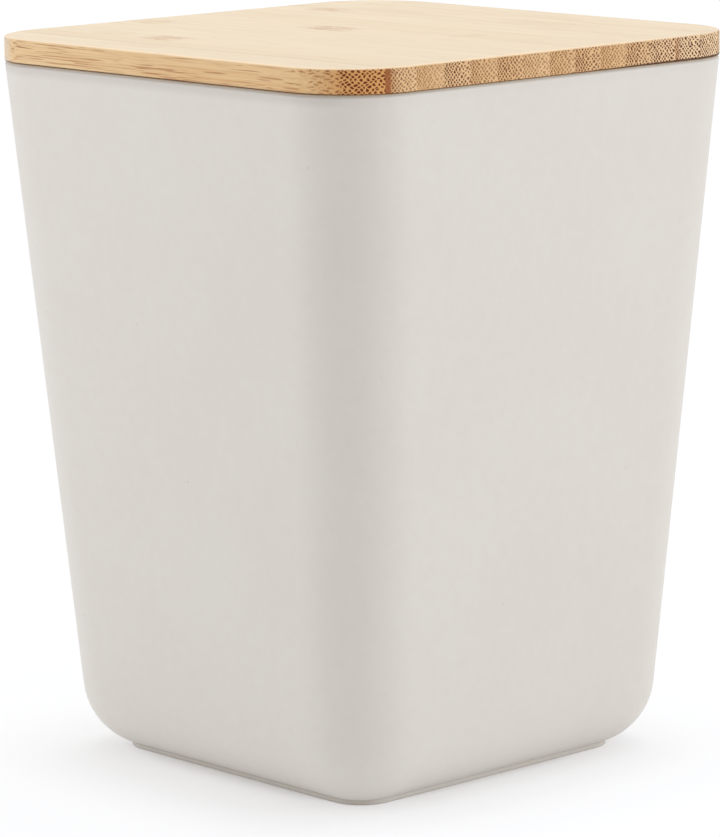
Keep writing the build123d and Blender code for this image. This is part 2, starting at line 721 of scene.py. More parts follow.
    def ground(self, skin: StripSkin, streaks: Signal) -> Signal:
        """Colour what lies between the bundles, for the top, the long grain and the end grain.

        Args:
            skin: The material being built.
            streaks: Fine streaks along the grain, 0 to 1.

        Returns:
            The colour.
        """
        cloud = skin.grain(self.clouds, skin.strip)
        shade = self.streak_weight * streaks + self.cloud_weight * cloud
        shade = skin.fade(shade + self.tone_weight * (skin.tone - 0.5), self.shade)
        flat = skin.blend(shade, self.top.warm, self.top.pale)
        shade = shade + self.side_paleness - skin.fade(skin.x, self.side_warmth)
        side = skin.blend(shade, self.side.warm, self.side.pale)
        shade = self.end_across_weight * skin.across + self.end_lean_weight * (skin.lean - 0.5)
        shade = skin.fade(shade + self.end_cloud_weight * (cloud - 0.5), self.end_shade)
        end = skin.blend(shade, self.end.warm, self.end.pale)
        end = skin.blend(self.crisp_strength * skin.crisp, end, self.crisp_end)
        end = skin.blend(skin.rich, end, self.rich_end)
        return skin.blend(skin.end, skin.blend(skin.top, side, flat), end)

    def bundle_colour(self, skin: StripSkin) -> Signal:
        """Colour the bundles.

        Args:
            skin: The material being built.

        Returns:
            The colour.
        """
        end = skin.blend(skin.crisp, self.end.bundle, self.crisp_bundle)
        end = skin.blend(skin.rich, end, self.rich_bundle)
        return skin.blend(skin.end, skin.blend(skin.top, self.side.bundle, self.top.bundle), end)

    def bundle_strength(self, skin: StripSkin) -> Signal:
        """Set how strongly bundles show: by the strip's boldness, and less to its inside and on top.

        Args:
            skin: The material being built.

        Returns:
            The strength, 0 to 1.
        """
        lost = self.contrast_lost_across * skin.end * skin.across * (1 - skin.rich)
        contrast = self.contrast.at(skin.end) - self.contrast_lost_on_top * skin.top
        return skin.low(contrast * skin.boldness * (1 - lost), 1.0)

    def fine_lines(self, skin: StripSkin) -> Signal:
        """Mark fine dark lines on the long grain, gathered in patches.

        Args:
            skin: The material being built.

        Returns:
            How strongly a line shows, 0 to 1.
        """
        lines = skin.fade(skin.grain(self.fine_grain, skin.strip), self.fine_line)
        patches = skin.fade(skin.grain(self.patches, skin.strip), self.patch)
        return lines * patches * (1 - skin.end) * (1 - skin.top)

    def stained(self, skin: StripSkin) -> Signal:
        """Mark the stained joints: a dark line just behind each joint, with a tail that fades.

        Args:
            skin: The material being built.

        Returns:
            How strongly a stain shows, 0 to 1.
        """
        total: Value = 0.0
        for stain in self.stains:
            beyond = skin.y - self.plan.joint(stain.joint) / MM
            line = skin.fade(abs(beyond - self.stain_middle), self.stain_line)
            tail = skin.fade(beyond, self.stain_tail) * skin.fade(beyond, self.stain_start)
            total = skin.high(line, tail) * stain.strength + total
        return total * self.stain_share.at(skin.end)

    def knot_marks(self, skin: StripSkin) -> Signal:
        """Mark the culm's nodes: short fuzzy bands across single strips.

        Args:
            skin: The material being built.

        Returns:
            How strongly a node shows, 0 to 1.
        """
        total: Value = 0.0
        for knot in self.knots:
            chosen = skin.maths("COMPARE", skin.strip, float(knot.strip), 0.5)
            near = skin.rise(abs(skin.x - knot.place / MM), knot.reach / MM, self.knot_core)
            total = chosen * near * knot.strength + total
        return skin.fade(skin.grain(self.knot_grain), self.knot_fuzz) * total

    def highlit_corner(self, skin: StripSkin) -> Signal:
        """Mark the painted highlight on the board's edge at its left corner."""
        return skin.fade(skin.x + skin.y, self.left_corner) * (1 - skin.top)

    def shaded_edge(self, skin: StripSkin) -> Signal:
        """Mark the painted shade along the lower edge of the board, which grows wider to the back of the end
        grain.

        Args:
            skin: The material being built.

        Returns:
            How dark the edge is, 0 to 1.
        """
        above = skin.z - self.plan.low / MM - self.low_edge_lift.at(skin.end)
        above = above - skin.end * skin.fade(skin.y, self.low_edge_back)
        return skin.fade(above, self.low_edge) * (1 - skin.top)

    def highlit_edge(self, skin: StripSkin) -> Signal:
        """Mark the painted highlight along the rounded upper edge of the board, most of all at the front.

        Args:
            skin: The material being built.

        Returns:
            How bright the edge is, 0 to 1.
        """
        corner_centre = (self.plan.half - self.plan.corner) / MM
        out_x = skin.high(abs(skin.x) - corner_centre, 0.0)
        out_y = skin.high(abs(skin.y) - corner_centre, 0.0)
        inward = self.plan.corner / MM - (out_x * out_x + out_y * out_y) ** 0.5
        upper = skin.maths("GREATER_THAN", skin.z, self.plan.middle() / MM)
        rounded = skin.fade(abs(skin.facing[2]), self.highlight_facing) * upper
        return skin.fade(inward, self.highlight_reach) * rounded * skin.fade(skin.x - skin.y, self.highlight_front)


@dataclass(frozen=True)
class SiliconeFinish:
    """Milky silicone, satin, with a little dust."""

    colour: Colour = paint(232, 231, 226)
    dusty_colour: Colour = paint(222, 220, 214)
    dust: Grain = Grain.even(1.5, 3.0)
    roughness: float = 0.38
    dusty_roughness: float = 0.12
    milkiness: float = 0.15
    light_depth: float = 1.0 * MM

    def build(self) -> bpy.types.Material:
        """Make the material.

        Returns:
            The material.
        """
        skin = Skin("silicone")
        dust = skin.grain(self.dust)
        return skin.dress(
            Base_Color=skin.blend(dust, self.colour, self.dusty_colour),
            Roughness=self.roughness + self.dusty_roughness * dust,
            Subsurface_Weight=self.milkiness,
            Subsurface_Radius=(self.light_depth, self.light_depth, self.light_depth),
        )


class Shape(Graph):
    """A Geometry Nodes tree under construction, with named inputs and one mesh output."""

    def __init__(self, name: str, sockets: dict[str, str]) -> None:
        """Start a tree.

        Args:
            name: The tree's name.
            sockets: The named inputs, each with its socket type.
        """
        tree = bpy.data.node_groups.new(name, "GeometryNodeTree")
        tree.is_modifier = True
        super().__init__(tree)
        self.names: dict[str, str] = {}
        for label, kind in {**sockets, "Finish": "NodeSocketMaterial"}.items():
            socket = tree.interface.new_socket(label, in_out="INPUT", socket_type=kind)
            self.names[label] = socket.identifier
        tree.interface.new_socket("Mesh", in_out="OUTPUT", socket_type="NodeSocketGeometry")
        self.given = self.node("NodeGroupInput")

    def get(self, label: str) -> Signal:
        """Take one of the tree's named inputs."""
        return self.out(self.given, label)

    def grid_place(self) -> tuple[Signal, Signal, Signal]:
        """Take the place of each point before it is moved."""
        return self.split(self.out(self.node("GeometryNodeInputPosition")))

    def close(self, mesh: Value, place: Signal, marks: dict[str, Value] | None = None) -> None:
        """Move the points, close seams and poles, and end the tree.

        Args:
            mesh: The mesh whose points are moved.
            place: Where each point goes.
            marks: Values stored on the points for the finish, by name.
        """
        merged_within = 0.002 * MM
        made = self.node("GeometryNodeSetPosition", inputs={"Geometry": mesh, "Position": place})
        inputs = {"Geometry": made.outputs[0], "Distance": merged_within}
        made = self.node("GeometryNodeMergeByDistance", inputs=inputs)
        for label, value in (marks or {}).items():
            settings = {"data_type": "FLOAT", "domain": "POINT"}
            inputs = {"Geometry": made.outputs[0], "Name": label, "Value": value}
            made = self.node("GeometryNodeStoreNamedAttribute", settings, inputs)
        made = self.node("GeometryNodeRealizeInstances", inputs={"Geometry": made.outputs[0]})
        inputs = {"Geometry": made.outputs[0], "Material": self.get("Finish")}
        made = self.node("GeometryNodeSetMaterial", inputs=inputs)
        self.node("NodeGroupOutput", inputs={"Mesh": made.outputs[0]})

    def make(self, name: str, values: dict[str, object]) -> bpy.types.Object:
        """Run the tree with these values and keep the result as a plain mesh.

        Args:
            name: The new piece's name.
            values: A value for each named input.

        Returns:
            The piece, smooth where its faces meet gently and sharp where they don't.
        """
        carrier = bpy.data.objects.new(name + "_carrier", bpy.data.meshes.new(name + "_carrier"))
        bpy.context.scene.collection.objects.link(carrier)
        modifier = carrier.modifiers.new("shape", "NODES")
        modifier.node_group = self.tree
        for label, value in values.items():
            modifier[self.names[label]] = value
        bpy.context.view_layer.update()
        evaluated = carrier.evaluated_get(bpy.context.evaluated_depsgraph_get())
        mesh = bpy.data.meshes.new_from_object(evaluated)
        bpy.data.objects.remove(carrier)
        mesh.name = name
        piece = bpy.data.objects.new(name, mesh)
        bpy.context.scene.collection.objects.link(piece)
        return smoothed(piece)


def smoothed(piece: bpy.types.Object) -> bpy.types.Object:
    """Shade a piece smooth up to a crease angle, with flat faces kept flat.

    Args:
        piece: The piece, a plain mesh.

    Returns:
        The same piece with its new mesh.
    """
    crease = math.radians(35)
    piece.data.shade_smooth()
    piece.data.set_sharp_from_angle(angle=crease)
    weigh = piece.modifiers.new("flat faces stay flat", "WEIGHTED_NORMAL")
    weigh.mode = "FACE_AREA"
    weigh.weight = 100
    weigh.keep_sharp = True
    bpy.context.view_layer.update()
    evaluated = piece.evaluated_get(bpy.context.evaluated_depsgraph_get())
    final = bpy.data.meshes.new_from_object(evaluated)
    rough = piece.data
    piece.modifiers.clear()
    piece.data = final
    bpy.data.meshes.remove(rough)
    return piece


def square_loft_tree() -> Shape:
    """Build the tree that lofts level rounded squares along a profile.

    Each point of the profile is one square: X is its half side, Y its corner radius and
    Z its height. A point with no half side closes a pole.

    Returns:
        The tree.
    """
    sockets = {"Profile": "NodeSocketObject"}
    for label in ("Levels", "Corner steps", "Side steps"):
        sockets[label] = "NodeSocketInt"
    shape = Shape("square loft", sockets)
    corner_steps, side_steps = shape.get("Corner steps"), shape.get("Side steps")
    quarter = corner_steps + side_steps
    around = 4 * quarter
    levels = shape.get("Levels")
    grid = shape.node(
        "GeometryNodeMeshGrid",
        inputs={"Size X": around, "Size Y": levels - 1, "Vertices X": around + 1, "Vertices Y": levels},
    )
    column, row, _ = shape.grid_place()
    column = shape.maths("ROUND", column + around / 2)
    row = shape.maths("ROUND", row + (levels - 1) / 2)
    profile = shape.node("GeometryNodeObjectInfo", inputs={"Object": shape.get("Profile")})
    here = shape.node("GeometryNodeInputPosition")
    sampled = shape.node(
        "GeometryNodeSampleIndex",
        {"data_type": "FLOAT_VECTOR", "domain": "POINT", "clamp": True},
        {"Geometry": shape.out(profile, "Geometry"), "Value": here.outputs[0], "Index": row},
    )
    half, corner, height = shape.split(shape.out(sampled, "Value"))
    # The nudge keeps a quarter's first column from counting to the quarter before
    nudge = 0.001
    turn = shape.maths("FLOOR", (column + nudge) / quarter)
    step = column - turn * quarter
    bend = shape.low(step / corner_steps, 1.0) * (math.pi / 2)
    run = shape.high((step - corner_steps) / side_steps, 0.0)
    # Steps along a side crowd towards its ends, so that the flat stays flat
    run = 0.5 - 0.5 * shape.maths("COSINE", run * math.pi)
    flat = half - corner
    out_x = flat * (1 - 2 * run) + corner * shape.maths("COSINE", bend)
    out_y = flat + corner * shape.maths("SINE", bend)
    spun = shape.node(
        "ShaderNodeVectorRotate",
        {"rotation_type": "Z_AXIS"},
        {"Vector": shape.join(out_x, out_y, height), "Angle": turn * (math.pi / 2)},
    )
    shape.close(grid.outputs[0], shape.out(spun))
    return shape


def board_strip_tree() -> Shape:
    """Build the tree that cuts one strip out of a board with rounded corners.

    The strip lies between two joints along Y. The board's outline has a rounded lower
    edge and a rounded upper edge, and may step in part of the way up.

    Returns:
        The tree.
    """
    lengths = ("Front", "Back", "Half side", "Corner", "Low", "High", "Low round", "High round",
               "Step height", "Step depth", "Boldness")
    sockets = {label: "NodeSocketFloat" for label in lengths}
    shape = Shape("board strip", {**sockets, "Long steps": "NodeSocketInt", "Wide steps": "NodeSocketInt"})
    # Rings of points, from below: the lower rounding, two at the step, the upper rounding
    arc_steps = 5
    lower_step = arc_steps + 1
    upper_step = lower_step + 1
    upper_arc = upper_step + 1
    rings = upper_arc + arc_steps + 1
    box = shape.node(
        "GeometryNodeMeshCube",
        inputs={
            "Size": (1.0, 1.0, 1.0),
            "Vertices X": shape.get("Long steps") + 1,
            "Vertices Y": shape.get("Wide steps") + 1,
            "Vertices Z": rings,
        },
    )
    long, wide, tall = shape.grid_place()
    ring = shape.maths("ROUND", (tall + 0.5) * (rings - 1))
    low_turn = shape.low(ring / arc_steps, 1.0) * (math.pi / 2)
    high_turn = shape.high((ring - upper_arc) / arc_steps, 0.0) * (math.pi / 2)
    low_round, high_round = shape.get("Low round"), shape.get("High round")

    def from_ring(number: int) -> Signal:
        """Give 1 from a ring upwards, 0 below it."""
        return shape.maths("GREATER_THAN", ring, number - 0.5)

    at_foot = 1 - from_ring(lower_step)
    stepped, on_top = from_ring(upper_step), from_ring(upper_arc)
    on_step = from_ring(lower_step) * (1 - on_top)
    inset = (
        at_foot * low_round * (1 - shape.maths("SINE", low_turn))
        + stepped * shape.get("Step depth")
        + on_top * high_round * (1 - shape.maths("COSINE", high_turn))
    )
    height = (
        at_foot * (shape.get("Low") + low_round * (1 - shape.maths("COSINE", low_turn)))
        + on_step * shape.get("Step height")
        + on_top * (shape.get("High") - high_round * (1 - shape.maths("SINE", high_turn)))
    )
    flat = shape.get("Half side") - shape.get("Corner")
    radius = shape.get("Corner") - inset

    def unrolled(place: Signal) -> Signal:
        """Turn a place along Y into a length along the outline.

        Args:
            place: The place, measured from the middle.

        Returns:
            The length, measured from the middle too.
        """
        past = shape.low(shape.high((abs(place) - flat) / radius, 0.0), 1.0)
        length = shape.low(abs(place), flat) + radius * shape.maths("ARCSINE", past)
        return length * shape.maths("SIGN", place)

    front, back = unrolled(shape.get("Front")), unrolled(shape.get("Back"))
    along = front + (back - front) * (wide + 0.5)
    past = shape.high(abs(along) - flat, 0.0) / radius
    out_y = shape.maths("SIGN", along) * (shape.low(abs(along), flat) + radius * shape.maths("SINE", past))
    reach = flat + radius * shape.maths("COSINE", past)
    marks = {BOLDNESS: shape.get("Boldness")}
    shape.close(box.outputs[0], shape.join(2 * long * reach, out_y, height), marks)
    return shape


def arc(centre: Point, radius: float, start: float, end: float, steps: int) -> list[Point]:
    """Points of an arc in the plane of half side and height.

    Args:
        centre: Half side and height of the centre.
        radius: The arc's radius.
        start: First angle, in degrees from straight out.
        end: Last angle, in degrees.
        steps: How many steps the arc takes.

    Returns:
        The points, both ends among them.
    """
    turns = [math.radians(start + (end - start) * step / steps) for step in range(steps + 1)]
    return [(centre[0] + radius * math.cos(turn), centre[1] + radius * math.sin(turn)) for turn in turns]


def profile_object(name: str, squares: Sequence[Square]) -> bpy.types.Object:
    """Hold a list of squares as loose points that a tree can read.

    Args:
        name: The holder's name.
        squares: Half side, corner radius and height of each square.

    Returns:
        The holder.
    """
    mesh = bpy.data.meshes.new(name)
    mesh.from_pydata(squares, [], [])
    holder = bpy.data.objects.new(name, mesh)
    bpy.context.scene.collection.objects.link(holder)
    return holder


@dataclass
class Tub:
    """The moulded tub: tapered walls, a rounded bottom, a foot ring and a soft rim."""

    rim_half: float = 50.0 * MM
    rim_corner: float = 14.5 * MM
    base_half: float = 40.4 * MM
    base_corner: float = 13.0 * MM
    base_height: float = 0.2 * MM
    bottom_round: float = 12.6 * MM
    rim_round: float = 0.6 * MM
    wall: float = 2.8 * MM
    inside_floor: float = 3.8 * MM
    foot_half: float = 33.2 * MM
    foot_corner: float = 6.8 * MM
    foot_width: float = 3.0 * MM
    foot_recess: float = 1.2 * MM
    foot_round: float = 0.25 * MM
    # How finely the flats, roundings and walls are divided
    flat_shares: tuple[float, ...] = (0.0, 0.5, 0.9)
    bottom_steps: int = 16
    wall_steps: int = 8
    rim_steps: int = 6
    foot_steps: int = 3
    corner_steps: int = 16
    side_steps: int = 12
    finish: FibreFinish = field(default_factory=FibreFinish)

    def __post_init__(self) -> None:
        """Take the rim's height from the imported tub."""
        self.rim_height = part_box("tub")[1].z
        self.rise = self.rim_height - self.base_height
        self.slope = (self.rim_half - self.base_half) / self.rise
        self.lean = math.degrees(math.atan(self.slope))

    def half(self, height: float) -> float:
        """Half side of the outer wall at a height."""
        return self.base_half + self.slope * (height - self.base_height)

    def corner(self, height: float) -> float:
        """Corner radius of the outer wall at a height."""
        up = (height - self.base_height) / self.rise
        return self.base_corner + (self.rim_corner - self.base_corner) * up

    def square(self, half: float, height: float) -> Square:
        """Fit a square to the wall, its corner drawn in as far as its side is.

        Args:
            half: The square's half side.
            height: The square's height.

        Returns:
            The square.
        """
        corner = self.corner(height) - (self.half(height) - half)
        least_share = 0.12
        return half, min(max(corner, least_share * half), half), height

    def squares(self, places: Sequence[Point]) -> list[Square]:
        """Fit a square to the wall at each half side and height."""
        return [self.square(half, height) for half, height in places]

    def bottom_arc(self, low: float, inset: float, radius: float) -> list[Point]:
        """Round off a wall into a floor, from under the floor's edge up to the wall.

        Args:
            low: Height of the floor.
            inset: How far inside the outer wall the wall is.
            radius: Radius of the rounding.

        Returns:
            The half side and height of each point.
        """
        height = low + radius
        reach = self.half(height) - inset - radius / math.cos(math.radians(self.lean))
        return arc((reach, height), radius, -90, -self.lean, self.bottom_steps)

    def wall_places(self, low: float, inset: float) -> list[Point]:
        """Go up a wall, clear of the roundings at its two ends.

        Args:
            low: Where the lower rounding ends.
            inset: How far inside the outer wall the wall is.

        Returns:
            The half side and height of each point.
        """
        high = self.rim_height - 2 * self.rim_round
        low = low + self.rim_round
        heights = [low + (high - low) * step / self.wall_steps for step in range(self.wall_steps + 1)]
        return [(self.half(height) - inset, height) for height in heights]

    def foot_squares(self) -> list[Square]:
        """Go from the middle of the underside, down round the foot ring, to its outer lower edge.

        Returns:
            The squares on the way.
        """
        foot_inner = self.foot_half - self.foot_width
        recess_corner = self.foot_corner - self.foot_width
        soft = self.foot_round
        shares = (*self.flat_shares, 1.0)
        squares = [(share * foot_inner, share * recess_corner, self.foot_recess) for share in shares]
        inner_edge = arc((foot_inner + soft, soft), soft, 180, 270, self.foot_steps)
        outer_edge = arc((self.foot_half - soft, soft), soft, 270, 360, self.foot_steps)
        for half, height in inner_edge + outer_edge:
            squares.append((half, half - self.foot_half + self.foot_corner, height))
        return squares

    def profile(self) -> list[Square]:
        """Go from the middle of the underside, over the wall, to the middle of the floor inside.

        Returns:
            The squares on the way, for one closed shell.
        """
        squares = self.foot_squares()
        outer_arc = self.bottom_arc(self.base_height, 0.0, self.bottom_round)
        beyond_foot = [place for place in outer_arc if place[0] > self.foot_half]
        centre_height = self.base_height + self.bottom_round
        centre_half = outer_arc[0][0]
        meeting = centre_height - math.sqrt(self.bottom_round**2 - (self.foot_half - centre_half) ** 2)
        squares.append((self.foot_half, self.foot_corner, meeting))
        rim_top = self.rim_height - self.rim_round
        outer_reach = self.half(rim_top) - self.rim_round
        inner_reach = self.half(rim_top) - self.wall + self.rim_round
        inner_arc = self.bottom_arc(self.inside_floor, self.wall, self.bottom_round - self.wall)
        squares += self.squares([
            (self.foot_half, meeting),
            *beyond_foot,
            *self.wall_places(outer_arc[-1][1], 0.0),
            *arc((outer_reach, rim_top), self.rim_round, -self.lean, 90, self.rim_steps),
            *arc((inner_reach, rim_top), self.rim_round, 90, 180 - self.lean, self.rim_steps),
            *reversed(self.wall_places(inner_arc[-1][1], self.wall)),
            *reversed(inner_arc),
        ])
        floor_half, floor_corner, _ = squares[-1]
        for share in reversed(self.flat_shares):
            squares.append((share * floor_half, share * floor_corner, self.inside_floor))
        return squares

    def build(self, loft: Shape) -> bpy.types.Object:
        """Make the tub's one shell.

        Args:
            loft: The tree that lofts rounded squares.

        Returns:
            The shell.
        """
        squares = self.profile()
        holder = profile_object("tub_profile", squares)
        values = {"Profile": holder, "Levels": len(squares), "Corner steps": self.corner_steps,
                  "Side steps": self.side_steps, "Finish": self.finish.build(self.rim_height)}
        shell = loft.make("tub_shell", values)
        bpy.data.objects.remove(holder)
        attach(shell, Body.CANISTER.value)
        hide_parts("tub")
        return shell


@dataclass
class Board(ABC):
    """A board of bamboo strips, each strip a piece of its own."""

    tub: Tub
    node_start: str
    piece_start: str
    low_round: float
    high_round: float
    boldness: tuple[float, ...] = ()
    plain_boldness: float = 0.7
    step_depth: float = 0.0
    steps: int = 24

    def __post_init__(self) -> None:
        """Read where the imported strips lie, front to back; all but the first and the last are whole."""
        self.nodes = sorted(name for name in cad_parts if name.startswith(self.node_start))
        self.boxes = [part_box(name) for name in self.nodes]
        front, back = self.boxes[1]
        low, high = self.boxes[len(self.boxes) // 2]
        corner = self.corner(low.z)
        self.plan = BoardPlan(front.y, back.y - front.y, low.z, high.z, high.x, corner)

    @abstractmethod
    def corner(self, low: float) -> float:
        """Radius of the board's corners, for the height of its underside."""

    @abstractmethod
    def finish(self) -> BambooFinish:
        """Choose the strips' finish."""

    def step_height(self) -> float:
        """Height at which the board steps in, halfway up where it has no step."""
        return self.plan.middle()

    def build(self, strip_shape: Shape) -> list[bpy.types.Object]:
        """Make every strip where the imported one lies.

        Args:
            strip_shape: The tree that cuts a strip out of a board.

        Returns:
            The strips, front to back.
        """
        material = self.finish().build()
        half_side = max(high.x for _, high in self.boxes)
        boldness = self.boldness or (self.plain_boldness,) * len(self.nodes)
        strips = []
        for name, (low, high), bold in zip(self.nodes, self.boxes, boldness):
            values = {
                "Front": low.y, "Back": high.y, "Half side": half_side, "Corner": self.plan.corner,
                "Low": low.z, "High": high.z, "Low round": self.low_round, "High round": self.high_round,
                "Step height": self.step_height(), "Step depth": self.step_depth, "Boldness": bold,
                "Long steps": self.steps, "Wide steps": self.steps, "Finish": material,
            }
            strip = strip_shape.make(self.piece_start + name.removeprefix(self.node_start), values)
            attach(strip, Body.LID.value)
            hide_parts(name)
            strips.append(strip)
        return strips


@dataclass
class LidBoard(Board):
    """The lid board, as wide as the tub's rim."""

    node_start: str = "lid_strip_"
    piece_start: str = "lid_bamboo_"
    low_round: float = 0.3 * MM
    high_round: float = 0.3 * MM
    boldness: tuple[float, ...] = (
        0.95, 1.4, 0.95, 0.65, 1.3, 0.9, 1.1, 0.8, 0.9, 1.2, 0.8, 1.25, 1.5, 1.8, 1.95, 1.85, 1.5,
    )
    knots: tuple[Knot, ...] = (
        Knot(2, -18.5 * MM),
        Knot(2, -32.5 * MM, 0.3),
        Knot(5, -46.0 * MM, 0.6, 9.0 * MM),
        Knot(7, -9.0 * MM, 1.2, 8.0 * MM),
        Knot(8, 20.0 * MM, 0.35, 3.0 * MM),
        Knot(11, -37.0 * MM, 0.8),
        Knot(12, -22.0 * MM, 0.25, 16.0 * MM),
        Knot(12, 16.0 * MM, 0.3, 18.0 * MM),
    )

    def corner(self, low: float) -> float:
        """Radius of the board's corners: that of the rim, at any height."""
        return self.tub.rim_corner

    def finish(self) -> BambooFinish:
        """Finish the strips with the knots that show on top."""
        return BambooFinish("lid bamboo", self.plan, self.knots)


@dataclass
class PlugBoard(Board):
    """The plug board under the lid: a lip below, and a neck that holds the seal ring."""

    node_start: str = "plug_strip_"
    piece_start: str = "plug_bamboo_"
    low_round: float = 0.4 * MM
    high_round: float = 0.02 * MM
    step_depth: float = 1.8 * MM
    clearance: float = 1.2 * MM
    seed: float = 41.0

    def corner(self, low: float) -> float:
        """Radius of the board's corners: that of the mouth, less the clearance."""
        return self.tub.corner(low) - self.tub.wall - self.clearance

    def finish(self) -> BambooFinish:
        """Finish the strips plainly, with no rich strip among them."""
        nowhere = -99
        return BambooFinish("plug bamboo", self.plan, seed=self.seed, rich_strip=nowhere, stains=())

    def step_height(self) -> float:
        """Height of the lip's top, where the seal ring sits."""
        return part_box("seal_ring")[0].z


@dataclass
class SealRing:
    """The soft ring round the plug's neck: a band with fins, which end a gap short of the wall."""

    plug: PlugBoard
    fin_count: int = 2
    fin_thickness: float = 0.8 * MM
    fin_tip: float = 0.3 * MM
    gap: float = 0.25 * MM
    tip_steps: int = 4
    corner_steps: int = 12
    side_steps: int = 6
    finish: SiliconeFinish = field(default_factory=SiliconeFinish)

    def fin(self, low: float) -> list[Square]:
        """Go round one fin.

        Args:
            low: Height of the fin's underside.

        Returns:
            The squares, from below.
        """
        tub, tip, high = self.plug.tub, self.fin_tip, low + self.fin_thickness
        reach = tub.half(low) - tub.wall - self.gap
        corner = tub.corner(low) - tub.wall - self.gap
        lower_tip = arc((reach - tip, low + tip), tip, -90, 0, self.tip_steps)
        upper_tip = arc((reach - tip, high - tip), tip, 0, 90, self.tip_steps)
        root, root_corner = self.plug.plan.half, self.plug.plan.corner
        around = [(half, corner - (reach - half), height) for half, height in lower_tip + upper_tip]
        return [(root, root_corner, low), *around, (root, root_corner, high)]

    def build(self, loft: Shape) -> bpy.types.Object:
        """Make the ring.

        Args:
            loft: The tree that lofts rounded squares.

        Returns:
            The ring.
        """
        low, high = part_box("seal_ring")
        outer, outer_corner = self.plug.plan.half, self.plug.plan.corner
        inner, inner_corner = outer - self.plug.step_depth, outer_corner - self.plug.step_depth
        squares = [(inner, inner_corner, low.z), (outer, outer_corner, low.z)]
        pitch = (high.z - low.z) / self.fin_count
        for number in range(self.fin_count):
            squares += self.fin(low.z + (number + 0.5) * pitch - self.fin_thickness / 2)
        squares += [(outer, outer_corner, high.z), (inner, inner_corner, high.z), squares[0]]
        holder = profile_object("seal_profile", squares)
        values = {"Profile": holder, "Levels": len(squares), "Corner steps": self.corner_steps,
                  "Side steps": self.side_steps, "Finish": self.finish.build()}
        seal = loft.make("seal_band", values)
        bpy.data.objects.remove(holder)
        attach(seal, Body.LID.value)
        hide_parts("seal_ring")
        return seal


def direction(azimuth: float, elevation: float) -> Vector:
    """Point away from the object.

    Args:
        azimuth: Degrees round the object from its front, which faces along -Y.
        elevation: Degrees up.

    Returns:
        The direction, of length 1.
    """
    turn, tilt = math.radians(azimuth), math.radians(elevation)
    return Vector((math.sin(turn) * math.cos(tilt), -math.cos(turn) * math.cos(tilt), math.sin(tilt)))


@dataclass(frozen=True)
class Lamp:
    """A soft lamp that faces the object: where it stands, in degrees round from the camera, and its size."""

    name: str
    round_from_camera: float
    elevation: float
    distance: float
    size: Point
    watts: float

    def build(self, camera_azimuth: float) -> None:
        """Place the lamp.

        Args:
            camera_azimuth: Where the camera stands, in degrees round from the front.
        """
        away = direction(camera_azimuth + self.round_from_camera, self.elevation)
        data = bpy.data.lights.new(self.name, "AREA")
        data.shape = "RECTANGLE"
        data.size, data.size_y = self.size
        data.energy = self.watts
        lamp = bpy.data.objects.new(self.name, data)
        facing = away.to_track_quat("Z", "Y").to_matrix().to_4x4()
        lamp.matrix_world = Matrix.Translation(away * self.distance) @ facing
        bpy.context.scene.collection.objects.link(lamp)


@dataclass(frozen=True)
class Camera:
    """The photograph's camera. The focal length and the image's long side are in pixels."""

    azimuth: float = 47.09
    elevation: float = 10.45
    distance: float = 0.8134
    target_height: float = 0.06137
    target_shift: float = -0.00097
    roll: float = -0.65
    focal_pixels: float = 4424.8
    image_long_side: float = 837.0
    sensor: float = 36.0
    farthest_seen: float = 50.0

    def back(self) -> Vector:
        """Direction from the object to the camera."""
        return direction(self.azimuth, self.elevation)

    def build(self) -> None:
        """Place the camera and make it the scene's."""
        back = self.back()
        turn, roll = math.radians(self.azimuth), math.radians(self.roll)
        right = Vector((math.cos(turn), math.sin(turn), 0.0))
        up = back.cross(right)
        data = bpy.data.cameras.new("camera")
        data.sensor_width = self.sensor
        data.lens = self.focal_pixels / self.image_long_side * self.sensor
        data.clip_end = self.farthest_seen
        camera = bpy.data.objects.new("camera", data)
        rolled_right = right * math.cos(roll) + up * math.sin(roll)
        rolled_up = up * math.cos(roll) - right * math.sin(roll)
        axes = Matrix((rolled_right, rolled_up, back)).transposed().to_4x4()
        target = Vector((0.0, 0.0, self.target_height)) + right * self.target_shift
        camera.matrix_world = Matrix.Translation(target + back * self.distance) @ axes
        bpy.context.scene.collection.objects.link(camera)
        bpy.context.scene.camera = camera


@dataclass(frozen=True)
class Glow:
    """One step in which the seen table goes white, outwards from the object, and later on the left."""

    share: float
    start: float
    end: float
    later_on_left: float


